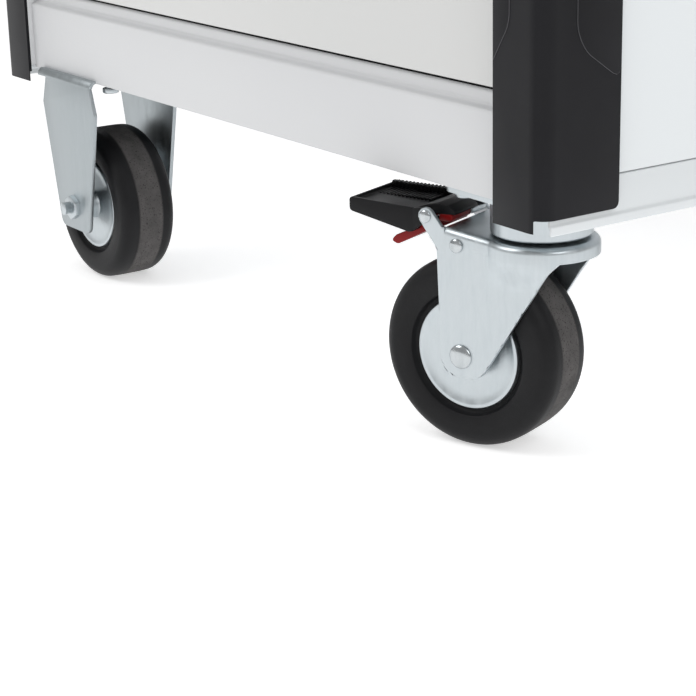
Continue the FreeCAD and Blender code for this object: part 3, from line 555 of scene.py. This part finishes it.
add_node(beech, "ShaderNodeOutputMaterial", {}, {"Surface": shader.outputs[0]})
settle(slab, "worktop_slab", "cabinet", ["worktop"], beech)

# ==== Wheels ========================================================================================
# Moulded black rubber tyres, 125 mm, on pressed zinc plated hubs.  The tread is scuffed grey by
# floor dust, and its edge against the darker side shows.
mm = 0.001


def turn(name, rings, steps=96, closed=True):
    """A turned piece about the Y axis: a ring drawn out through (radius, reach) pairs in millimetres,
    where reach is towards -Y.  Its ends are joined to each other, or closed flat."""
    free()
    bpy.ops.mesh.primitive_circle_add(vertices=steps, radius=rings[0][0] * mm)
    piece = bpy.context.object
    piece.name = name
    for vertex in piece.data.vertices:
        vertex.co.z = rings[0][1] * mm
    bpy.ops.object.mode_set(mode="EDIT")
    bpy.ops.mesh.select_mode(type="EDGE")
    bpy.ops.mesh.select_all(action="SELECT")
    for (r0, h0), (r1, h1) in zip(rings, rings[1:]):
        bpy.ops.mesh.extrude_edges_move(TRANSFORM_OT_translate={"value": (0, 0, (h1 - h0) * mm)})
        bpy.ops.transform.resize(value=(r1 / r0, r1 / r0, 1), center_override=(0, 0, h1 * mm))
    bpy.ops.mesh.select_all(action="DESELECT")
    bpy.ops.mesh.select_non_manifold()
    if closed:
        bpy.ops.mesh.bridge_edge_loops()
    else:
        bpy.ops.mesh.fill_holes(sides=0)
    bpy.ops.mesh.select_all(action="SELECT")
    bpy.ops.mesh.normals_make_consistent(inside=False)
    bpy.ops.object.mode_set(mode="OBJECT")
    piece.data.transform(Matrix.Rotation(math.pi / 2, 4, "X"))
    bpy.ops.object.shade_smooth_by_angle(angle=math.radians(38))
    return piece


def both_sides(rings):
    """Ring pairs of one side, and the same mirrored to the other."""
    return rings + [(radius, -reach) for radius, reach in reversed(rings)]


shoulder_round = 9.7
shoulder = [(52.5 + shoulder_round * math.sin(math.radians(a)),
             24.2 - shoulder_round * (1 - math.cos(math.radians(a)))) for a in range(0, 91, 9)]
tyre = turn("tyre", both_sides([(36.8, 18.5), (39.0, 18.9), (40.2, 20.2), (41.0, 23.2), (42.4, 24.0),
                                (49.0, 24.1)]
                               + shoulder + [(62.4, 11.4), (62.45, 9.6), (62.5, 3.0)]), 128)
# The part of the tread that meets the floor, 20 mm wide, is worn.
worn = tyre.data.attributes.new("worn", "FLOAT", "POINT")
for i, vertex in enumerate(tyre.data.vertices):
    radius = math.hypot(vertex.co.x, vertex.co.z) / mm
    worn.data[i].value = 1.0 if radius > 55 and abs(vertex.co.y) < 10 * mm else 0.0

rubber = new_material("moulded_black_tyre_rubber")
place = add_node(rubber, "ShaderNodeTexCoord", {}, {})
wear = add_node(rubber, "ShaderNodeAttribute", {"attribute_name": "worn"}, {})
# Dust and scuffs in patches about 12 mm across, with specks of 1 mm where the skin is picked.
patches = add_node(rubber, "ShaderNodeTexNoise", {"Scale": 1 / 0.012, "Detail": 5.0, "Roughness": 0.65},
                   {"Vector": place.outputs["Object"]})
specks = add_node(rubber, "ShaderNodeTexNoise", {"Scale": 1 / 0.0011, "Detail": 2.0},
                  {"Vector": place.outputs["Object"]})
pits = add_node(rubber, "ShaderNodeMapRange", {"From Min": 0.60, "From Max": 0.68},
                {"Value": specks.outputs["Fac"]})
scuff = add_node(rubber, "ShaderNodeMix", {"data_type": "RGBA", 6: srgb("3A3939"), 7: srgb("686564")},
                 {0: patches.outputs["Fac"]})
picked = add_node(rubber, "ShaderNodeMix", {"data_type": "RGBA", 7: srgb("2C2A2A")},
                  {0: pits.outputs["Result"], 6: scuff.outputs[2]})
skin = add_node(rubber, "ShaderNodeMix", {"data_type": "RGBA", 6: srgb("101012"), 7: srgb("19191B")},
                {0: patches.outputs["Fac"]})
tone = add_node(rubber, "ShaderNodeMix", {"data_type": "RGBA"},
                {0: wear.outputs["Fac"], 6: skin.outputs[2], 7: picked.outputs[2]})
dull = add_node(rubber, "ShaderNodeMapRange", {"To Min": 0.5, "To Max": 0.85},
                {"Value": wear.outputs["Fac"]})
bump = add_node(rubber, "ShaderNodeBump", {"Strength": 0.35, "Distance": 0.0003},
                {"Height": specks.outputs["Fac"]})
shader = add_node(rubber, "ShaderNodeBsdfPrincipled", {"IOR": 1.52, "Specular IOR Level": 0.2},
                  {"Base Color": tone.outputs[2], "Roughness": dull.outputs["Result"],
                   "Normal": bump.outputs["Normal"]})
add_node(rubber, "ShaderNodeOutputMaterial", {}, {"Surface": shader.outputs[0]})
tyre.data.materials.append(rubber)


def zinc_plate(name, light, dark, gloss):
    """Bright zinc plate on pressed steel: cool grey, drawn in soft streaks of about 6 by 30 mm, with
    faint scuffs from tumbling in the plating barrel."""
    plate = new_material(name)
    place = add_node(plate, "ShaderNodeTexCoord", {}, {})
    drawn = add_node(plate, "ShaderNodeMapping", {"Scale": (1 / 0.006, 1 / 0.006, 1 / 0.03)},
                     {"Vector": place.outputs["Object"]})
    streaks = add_node(plate, "ShaderNodeTexNoise", {"Scale": 1.0, "Detail": 4.0, "Roughness": 0.6},
                       {"Vector": drawn.outputs["Vector"]})
    scuffs = add_node(plate, "ShaderNodeTexNoise", {"Scale": 1 / 0.0014, "Detail": 3.0},
                      {"Vector": place.outputs["Object"]})
    tone = add_node(plate, "ShaderNodeMix", {"data_type": "RGBA", 6: srgb(dark), 7: srgb(light)},
                    {0: streaks.outputs["Fac"]})
    dull = add_node(plate, "ShaderNodeMapRange", {"From Min": 0.3, "From Max": 0.7, "To Min": gloss - 0.08,
                                                  "To Max": gloss + 0.1}, {"Value": streaks.outputs["Fac"]})
    bump = add_node(plate, "ShaderNodeBump", {"Strength": 0.12, "Distance": 0.0001},
                    {"Height": scuffs.outputs["Fac"]})
    shader = add_node(plate, "ShaderNodeBsdfPrincipled", {"Metallic": 1.0},
                      {"Base Color": tone.outputs[2], "Roughness": dull.outputs["Result"],
                       "Normal": bump.outputs["Normal"]})
    add_node(plate, "ShaderNodeOutputMaterial", {}, {"Surface": shader.outputs[0]})
    return plate


zinc = zinc_plate("zinc_plated_pressed_steel", "D3D9DC", "B0B8BC", 0.36)
worn_zinc = zinc_plate("zinc_plated_steel_dulled", "BBC1C4", "979FA2", 0.4)
fixed_low, fixed_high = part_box("fixed_tyre_front")
fixed_spot = (fixed_low + fixed_high) / 2
plate_low, plate_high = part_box("swivel_plate_front")
swivel_spot = Vector(((plate_low.x + plate_high.x) / 2, (plate_low.y + plate_high.y) / 2, 0))
# A castor piece is modelled about its own axis, its wheel towards -X, and then stands at the front or
# the rear corner.  The swivel castors rest turned 20.6 degrees, which brings the front pedal forwards
# and the rear one backwards.
swivel_turn = math.radians(20.58)
trail = 40.7
ends = {}
for end, sign in (("front", 1), ("rear", -1)):
    mirror = Matrix.Identity(4) if sign > 0 else flip_y
    ends[end] = {
        "fixed": mirror @ Matrix.Translation(fixed_spot),
        "fixed_plate": mirror @ Matrix.Translation((fixed_spot.x, fixed_spot.y, 0)),
        "swivel": Matrix.Translation((swivel_spot.x, sign * swivel_spot.y, 0))
        @ Matrix.Rotation(sign * swivel_turn, 4, "Z"),
        "plate": Matrix.Translation((swivel_spot.x, sign * swivel_spot.y, 0)),
        "wheel": Matrix.Translation((swivel_spot.x, sign * swivel_spot.y, 0))
        @ Matrix.Rotation(sign * swivel_turn, 4, "Z") @ Matrix.Translation((-trail * mm, 0, fixed_spot.z)),
    }
hubs = {}
for kind, bush in (("fixed", 31.7), ("swivel", 26.2)):
    hub = turn("hub", both_sides([(5.05, bush - 0.3), (6.0, bush), (10.2, bush), (11.0, bush - 0.8),
                                  (11.0, 22.6), (11.8, 20.6), (15.0, 20.2), (27.0, 20.4), (31.6, 20.7),
                                  (33.4, 21.5), (35.0, 21.8), (36.0, 21.5), (36.6, 20.6), (36.8, 18.6)]))
    # A 5 mm hole in one side of the disc.
    free()
    bpy.ops.mesh.primitive_cylinder_add(vertices=32, radius=2.5 * mm, depth=8 * mm,
                                        rotation=(math.pi / 2, 0, 0), location=(22.4 * mm, 22.0 * mm, 0))
    bpy.ops.object.transform_apply(location=True, rotation=True)
    cut_by(hub, bpy.context.object, "DIFFERENCE")
    grab(hub)
    bpy.ops.object.shade_smooth_by_angle(angle=math.radians(38))
    hub.data.materials.clear()
    hub.data.materials.append(zinc)
    hubs[kind] = hub
for end in ends:
    for kind, place_name, body in (("fixed", "fixed", "fixed_wheel_"),
                                   ("swivel", "wheel", "swivel_wheel_")):
        fit(tyre, "%s_tyre_rubber_%s" % (kind, end), ends[end][place_name], body + end,
            ["%s_tyre_%s" % (kind, end)])
        fit(hubs[kind], "%s_hub_pressing_%s" % (kind, end), ends[end][place_name], body + end,
            ["%s_hub_%s" % (kind, end)])
for piece in (tyre, hubs["fixed"], hubs["swivel"]):
    bpy.data.objects.remove(piece)

# ==== Fixed castor forks and axles ==================================================================
# Each is one zinc plated sheet: a plate with two tapered legs bent down from it in a 4 mm radius.  The
# axle is a bolt with a hexagon head, a nut and a thread end.


def sized(corners):
    """Corners given in millimetres, in metres."""
    return [tuple(value * mm for value in corner) for corner in corners]


# Half the width over the legs.
half = 35.0
fork = bent_sheet("fork", sized([(-half, 40.0), (-half, 170.0), (half, 170.0), (half, 40.0)]),
                  -52.5 * mm, 52.5 * mm, 0.0032, [0.0042, 0.0042])
silhouette = flat("tool", sized([(-23.8, 43.5, 7.0), (23.8, 43.5, 7.0), (45.3, 145.0, 3.0),
                                 (38.0, 166.2), (54.0, 166.2), (54.0, 172.0), (-54.0, 172.0),
                                 (-54.0, 166.2), (-38.0, 166.2), (-45.3, 145.0, 3.0)]),
                  lambda u, v: Vector((u, -0.06, v)))
draw_out(silhouette, (0, 0.12, 0))
cut_by(fork, silhouette, "INTERSECT")
# The plate is cropped beside the leg, on its inner side.
for side in (-1, 1):
    corner = flat("corner", sized([(39.2, side * 24.0), (60.0, side * 24.0),
                                   (60.0, side * 40.0), (39.2, side * 40.0)]),
                  lambda u, v: Vector((u, v, 0.1632)))
    draw_out(corner, (0, 0, 0.012))
    cut_by(fork, corner, "DIFFERENCE")
soften(fork, 0.0005, 2, 45)
fork.data.materials.append(worn_zinc)


def hexagon(name, across, low, high):
    """A hexagonal head or nut about Y, its outer corners chamfered."""
    free()
    bpy.ops.mesh.primitive_cylinder_add(vertices=6, radius=across * mm, depth=(high - low) * mm,
                                        rotation=(math.pi / 2, 0, 0), location=(0, (low + high) / 2 * mm, 0))
    bpy.ops.object.transform_apply(location=True, rotation=True)
    piece = bpy.context.object
    piece.name = name
    soften(piece, 0.0007, 2, 30)
    return piece


nut = hexagon("nut", 10.4, -half - 7.5, -half)
head = hexagon("head", 9.8, half, half + 6.0)
thread = []
thread_pitch = 0.85
for i in range(9):
    reach = half + 6.5 + i * thread_pitch
    thread += [(4.6, reach), (5.2, reach + 0.3), (5.2, reach + 0.45), (4.6, reach + 0.75)]
shank = turn("shank", [(4.9, -half + 1.0), (4.9, half + 6.3)] + thread[:-2] + [(3.9, half + 14.3)],
             48, closed=False)
axle = join("axle", [nut, head, shank])
axle.data.materials.clear()
axle.data.materials.append(zinc)
for i, end in enumerate(ends):
    fit(fork, "fixed_fork_pressing_" + end, ends[end]["fixed_plate"], "cabinet",
        ["fixed_fork_" + end])
    fit(axle, "fixed_axle_bolt_" + end, ends[end]["fixed"], "cabinet",
        ["fixed_axles"] if i == 0 else [])
bpy.data.objects.remove(fork)
bpy.data.objects.remove(axle)

# ==== Swivel castor plates and forks ================================================================
# The top plate carries a pressed ball race.  The fork is one deep-drawn sheet: a round crown over the
# balls, and two legs that run down to the axle, with an arm at the rear of each for the brake's pin.
for end in ends:
    from_node("swivel_plate_" + end, "swivel_plate_pressing_" + end, 0.0008, zinc, 3)

# Millimetres: u runs along the fork from the axle towards the kingpin, and z up from the floor.
leg_half, fork_wall, crown_radius = 29.5, 3.0, 36.5
crown_foot, crown_top, arm_root = 130.5, 140.5, -11.75


def drawn_edge(u, z):
    """Half width of the fork in millimetres: flat legs that spread into the round crown."""
    rise = min(1.0, max(0.0, (z - 110.0) / 20.5))
    rise = rise * rise * (3 - 2 * rise)
    x = u - trail
    if x < -21.5:
        return leg_half
    return leg_half + (math.sqrt(max(0.0, crown_radius ** 2 - x * x)) - leg_half) * rise


free()
bpy.ops.mesh.primitive_grid_add(x_subdivisions=54, y_subdivisions=56, size=1)
leg = bpy.context.object
for vertex in leg.data.vertices:
    u, z = 18.0 + 108.0 * vertex.co.x, 103.0 + 112.0 * vertex.co.y
    vertex.co = ((u - trail) * mm, -drawn_edge(u, z) * mm, z * mm)
grab(leg)
wall = leg.modifiers.new("wall", "SOLIDIFY")
wall.thickness = fork_wall * mm
wall.offset = -1
bpy.ops.object.modifier_apply(modifier="wall")
outline = sized([(-14.5, 48.5, 12.0), (-17.5, crown_foot, 6.0), (-32.92, 151.06, 5.2),
                 (-24.44, 157.42, 5.2), (-13.3, 144.6, 1.5), (arm_root, 144.6), (arm_root, crown_foot),
                 (66.6, crown_foot), (61.0, 124.0, 14.0), (13.5, 48.5, 12.0)])
tool = flat("tool", outline, lambda u, v: Vector((u - trail * mm, -0.045, v)))
draw_out(tool, (0, 0.035, 0))
cut_by(leg, tool, "INTERSECT")
grab(leg)
bpy.ops.object.mode_set(mode="EDIT")
bpy.ops.mesh.select_mode(type="EDGE")
bpy.ops.mesh.select_all(action="DESELECT")
bpy.ops.mesh.edges_select_sharp(sharpness=math.radians(60))
# All sharp edges are rounded but those where the leg and its arm run into the crown.
work = bmesh.from_edit_mesh(leg.data)
for edge in work.edges:
    seam = all(abs(v.co.z - crown_foot * mm) < 2e-5 and v.co.x > (arm_root - 0.15 - trail) * mm
               for v in edge.verts)
    root = all(abs(v.co.x - (arm_root - trail) * mm) < 2e-5 and v.co.z > (crown_foot - 0.1) * mm
               for v in edge.verts)
    if seam or root:
        edge.select_set(False)
bmesh.update_edit_mesh(leg.data)
bpy.ops.mesh.bevel(offset=0.0005, offset_type="OFFSET", segments=2, affect="EDGES")
bpy.ops.object.mode_set(mode="OBJECT")
bpy.ops.object.shade_smooth_by_angle(angle=math.radians(40))
other_leg = leg.copy()
other_leg.data = leg.data.copy()
other_leg.data.transform(flip_y)
other_leg.data.flip_normals()
bpy.context.scene.collection.objects.link(other_leg)


def round_block(radius, half_width, back, low, high):
    """A disc with a straight-sided tail towards -X, as the crown's outside and inside both are."""
    first = math.acos(-math.sqrt(radius ** 2 - half_width ** 2) / radius)
    turns = [first * (1 - i / 48) for i in range(97)]
    rim = [(radius * math.cos(a), radius * math.sin(a)) for a in turns]
    block = flat("block", sized([(back, half_width)] + rim + [(back, -half_width)]),
                 lambda u, v: Vector((u, v, low * mm)))
    return draw_out(block, (0, 0, (high - low) * mm))


crown = round_block(crown_radius, leg_half, arm_root - trail, crown_foot, crown_top)
grab(crown)
bpy.ops.object.mode_set(mode="EDIT")
pick(crown, "EDGE", lambda c, n: all(abs(v.z - crown_top * mm) < 1e-5 for v in c)
     and not all(v.x < (arm_root + 0.05 - trail) * mm for v in c))
bpy.ops.mesh.bevel(offset=0.0042, offset_type="OFFSET", segments=7, affect="EDGES")
bpy.ops.object.mode_set(mode="OBJECT")
inside = round_block(crown_radius - fork_wall, leg_half - fork_wall, -60.0, 129.0, crown_top - fork_wall)
cut_by(crown, inside, "DIFFERENCE")
# The kingpin's hole.
free()
bpy.ops.mesh.primitive_cylinder_add(vertices=64, radius=8.1 * mm, depth=20 * mm, location=(0, 0, 138 * mm))
bpy.ops.object.transform_apply(location=True)
cut_by(crown, bpy.context.object, "DIFFERENCE")
grab(crown)
bpy.ops.object.shade_smooth_by_angle(angle=math.radians(40))
# Towards the arms the crown rises by 4 mm, clear of the race.
for vertex in crown.data.vertices:
    back = min(1.0, max(0.0, (4.0 - trail) * mm - vertex.co.x) / (15.75 * mm))
    vertex.co.z += 4.1 * mm * back * min(1.0, max(0.0, (vertex.co.z - 131.0 * mm) / (6.0 * mm)))
fork = join("fork", [crown, leg, other_leg])
fork.data.materials.clear()
fork.data.materials.append(zinc)

# Domed rivets: the axle and the two brake pins.
pins = []
head_edge = 0.4
for radius, head_radius, height, u, z in ((5.0, 7.9, 3.0, 0.0, 62.5), (3.0, 4.2, 2.0, -25.5, 150.0),
                                          (2.0, 4.6, 2.2, -3.0, 134.0)):
    dome = [(head_radius * math.cos(math.radians(a)),
             leg_half + head_edge + (height - head_edge) * math.sin(math.radians(a)))
            for a in (86, 75, 62, 48, 34, 20, 8, 0)]
    rings = dome + [(head_radius, leg_half), (radius, leg_half)]
    pin = turn("pin", both_sides(rings), 48, closed=False)
    pin.data.transform(Matrix.Translation(((u - trail) * mm, 0, z * mm)))
    pins.append(pin)
pins = join("pins", pins)
rivet_zinc = zinc_plate("zinc_plated_cold_headed_rivet", "D6DADC", "9FA6A9", 0.18)
pins.data.materials.append(rivet_zinc)
for end in ends:
    fit(fork, "swivel_fork_pressing_" + end, ends[end]["swivel"], "swivel_" + end,
        ["swivel_fork_" + end])
    fit(pins, "fork_rivets_" + end, ends[end]["swivel"], "swivel_" + end,
        ["fork_pins_" + end])
bpy.data.objects.remove(fork)
bpy.data.objects.remove(pins)

# ==== Brake pedals, levers and shoes ================================================================
# A ribbed tread of black nylon tips on the fork's arms and presses a steel shoe onto the tyre.  A red
# toe below it lets the brake go again.
nylon = moulded_plastic("glass_filled_black_nylon", "141416", "0C0C0E", 0.42, 0.0006)
red_pp = moulded_plastic("moulded_red_polypropylene", "8F1414", "741010", 0.36, 0.0006)


def slab_between(name, corners, left, right_side):
    """An outline in the castor's (u, z) plane, drawn out between two y positions in millimetres."""
    piece = flat(name, sized(corners), lambda u, v: Vector((u - trail * mm, left * mm, v)))
    return draw_out(piece, (0, (right_side - left) * mm, 0))


pedal_half = 25.0
tread = slab_between("tread", [(-85.9, 145.6, 2.5), (-85.9, 154.6, 2.0), (-60.0, 153.6),
                               (-37.5, 152.8, 1.0), (-37.5, 137.6, 1.5), (-41.0, 136.9, 1.5)],
                     -pedal_half, pedal_half)
# Hollow below, and dished on top behind a rim.
cut_by(tread, slab_between("room", [(-82.9, 120.0), (-82.9, 149.5), (-40.0, 148.4), (-40.0, 120.0)],
                           -22.0, 22.0), "DIFFERENCE")
cut_by(tread, slab_between("dish", [(-83.4, 152.0, 1.0), (-83.4, 160.0), (-30.0, 160.0), (-30.0, 150.6)],
                           -22.4, 26.0), "DIFFERENCE")
ribs = []
rib_pitch = 2.9
for i in range(14):
    u = -80.0 + i * rib_pitch
    ribs.append(slab_between("rib", [(u - 0.9, 150.8), (u - 0.9, 155.3), (u - 0.4, 156.1), (u + 0.4, 156.1),
                                     (u + 0.9, 155.3), (u + 0.9, 150.8)], 19.6, 24.9))
    ribs.append(slab_between("rib", [(u - 0.7, 150.8), (u - 0.7, 152.0), (u - 0.3, 152.5), (u + 0.3, 152.5),
                                     (u + 0.7, 152.0), (u + 0.7, 150.8)], 2.0, 19.7))
far_rim = slab_between("far_rim", [(-84.0, 150.6), (-82.0, 155.2, 1.0), (-40.0, 155.4, 1.0),
                                   (-38.5, 150.4)], 20.4, pedal_half)
latch = slab_between("latch", [(-84.0, 154.0), (-83.0, 156.3, 0.6), (-76.0, 156.2, 0.8), (-70.0, 154.4)],
                     20.6, 24.0)
hump = slab_between("hump", [(-38.0, 144.5), (-38.0, 152.0, 2.0), (-31.0, 154.6, 4.0),
                             (-24.0, 156.2, 3.0), (-16.0, 155.4, 3.0), (-10.5, 152.2, 1.5),
                             (-10.5, 150.2), (-22.0, 149.8), (-30.0, 147.0)], -18.6, pedal_half)
cut_by(hump, slab_between("notch", [(-15.5, 140.0), (-15.5, 160.0), (0.0, 160.0), (0.0, 140.0)],
                          9.0, 18.0), "DIFFERENCE")
arms = []
arm_wall = 3.0
for left in (-pedal_half, pedal_half - arm_wall):
    arms.append(slab_between("arm", [(-38.2, 138.0), (-38.2, 152.6), (-29.5, 154.2, 3.0),
                                     (-21.5, 152.0, 3.0), (-20.8, 146.0, 3.0), (-30.0, 143.6)],
                             left, left + arm_wall))
for piece in (tread, hump, far_rim, latch, *arms):
    soften(piece, 0.0007, 3, 40)
pedal = join("pedal", [tread, hump, far_rim, latch] + arms + ribs)
pedal.data.materials.clear()
pedal.data.materials.append(nylon)

toe = slab_between("toe", [(-24.0, 146.5, 1.0), (-33.0, 142.2), (-55.8, 131.4, 2.0), (-59.9, 127.2, 1.6),
                           (-54.5, 125.4, 3.0), (-32.0, 137.2, 3.0), (-22.5, 140.2, 1.0)], -16.8, 16.8)
strip_left = 4.0
bar = slab_between("bar", [(-22.5, 145.0, 1.8), (-22.5, 149.8, 1.8), (-12.4, 150.2, 1.8),
                           (-12.4, 145.4, 1.8)], -18.4, strip_left)
for piece in (toe, bar):
    soften(piece, 0.0009, 3, 40)
lever = join("lever", [toe, bar])
lever.data.materials.clear()
lever.data.materials.append(red_pp)
# The red bar's other half is a zinc plated strip.
strip = slab_between("strip", [(-21.5, 145.6, 1.0), (-21.5, 149.4, 1.0), (-11.6, 149.8, 1.0),
                               (-11.6, 146.0, 1.0)], strip_left, 21.0)
soften(strip, 0.0006, 2, 40)
strip.data.materials.append(zinc)
for end in ends:
    spot = ends[end]["swivel"]
    fit(pedal, "brake_pedal_moulding_" + end, spot, "pedal_" + end,
        ["brake_pedal_" + end])
    fit(lever, "release_lever_moulding_" + end, spot, "lever_" + end,
        ["release_lever_" + end])
    fit(strip, "release_lever_strip_" + end, spot, "lever_" + end, [])
    from_node("brake_shoe_" + end, "brake_shoe_pressing_" + end, 0.0008, zinc, 3)
for piece in (pedal, lever, strip):
    bpy.data.objects.remove(piece)

# ==== Slides, bolts and locking bar =================================================================
# Zinc plated sheet and hardware that shows when a drawer is out, or from below.
from_node("slide_outers", "slide_outer_sections", 0.0004, zinc)
from_node("castor_bolts", "castor_bolt_set", 0.0008, zinc)
from_node("locking_bar", "locking_bar_strip", 0.0004, zinc)
for number in drawers:
    from_node("slide_inner_%d" % number, "slide_inner_sections_%d" % number, 0.0004, zinc)

# ==== Lock and key ==================================================================================
# A cam lock in the top frame, chromed, with a nickel plated key that turns a shaft to the locking bar.
chrome = zinc_plate("chrome_plated_zinc_casting", "E4E6E9", "D6D8DC", 0.16)
nickel = zinc_plate("nickel_plated_brass", "D9D4C9", "C9C3B6", 0.26)
from_node("lock_housing", "lock_housing_barrel", 0.0008, chrome, 3)
from_node("key", "key_blank", 0.0005, nickel, 3)
from_node("lock_shaft", "lock_shaft_rod", 0.0005, zinc)

# ==== Push handle ===================================================================================
# A chromed steel tube in two cast aluminium brackets on the right side panel.
cast = zinc_plate("sand_cast_aluminium", "C6C9CB", "B4B7B9", 0.5)
tube_finish = zinc_plate("chrome_plated_steel_tube", "DEE0E3", "D0D3D6", 0.2)
from_node("push_handle", "push_handle_tube", 0.0008, tube_finish, 3)
from_node("handle_brackets", "handle_bracket_castings", 0.0015, cast, 3)
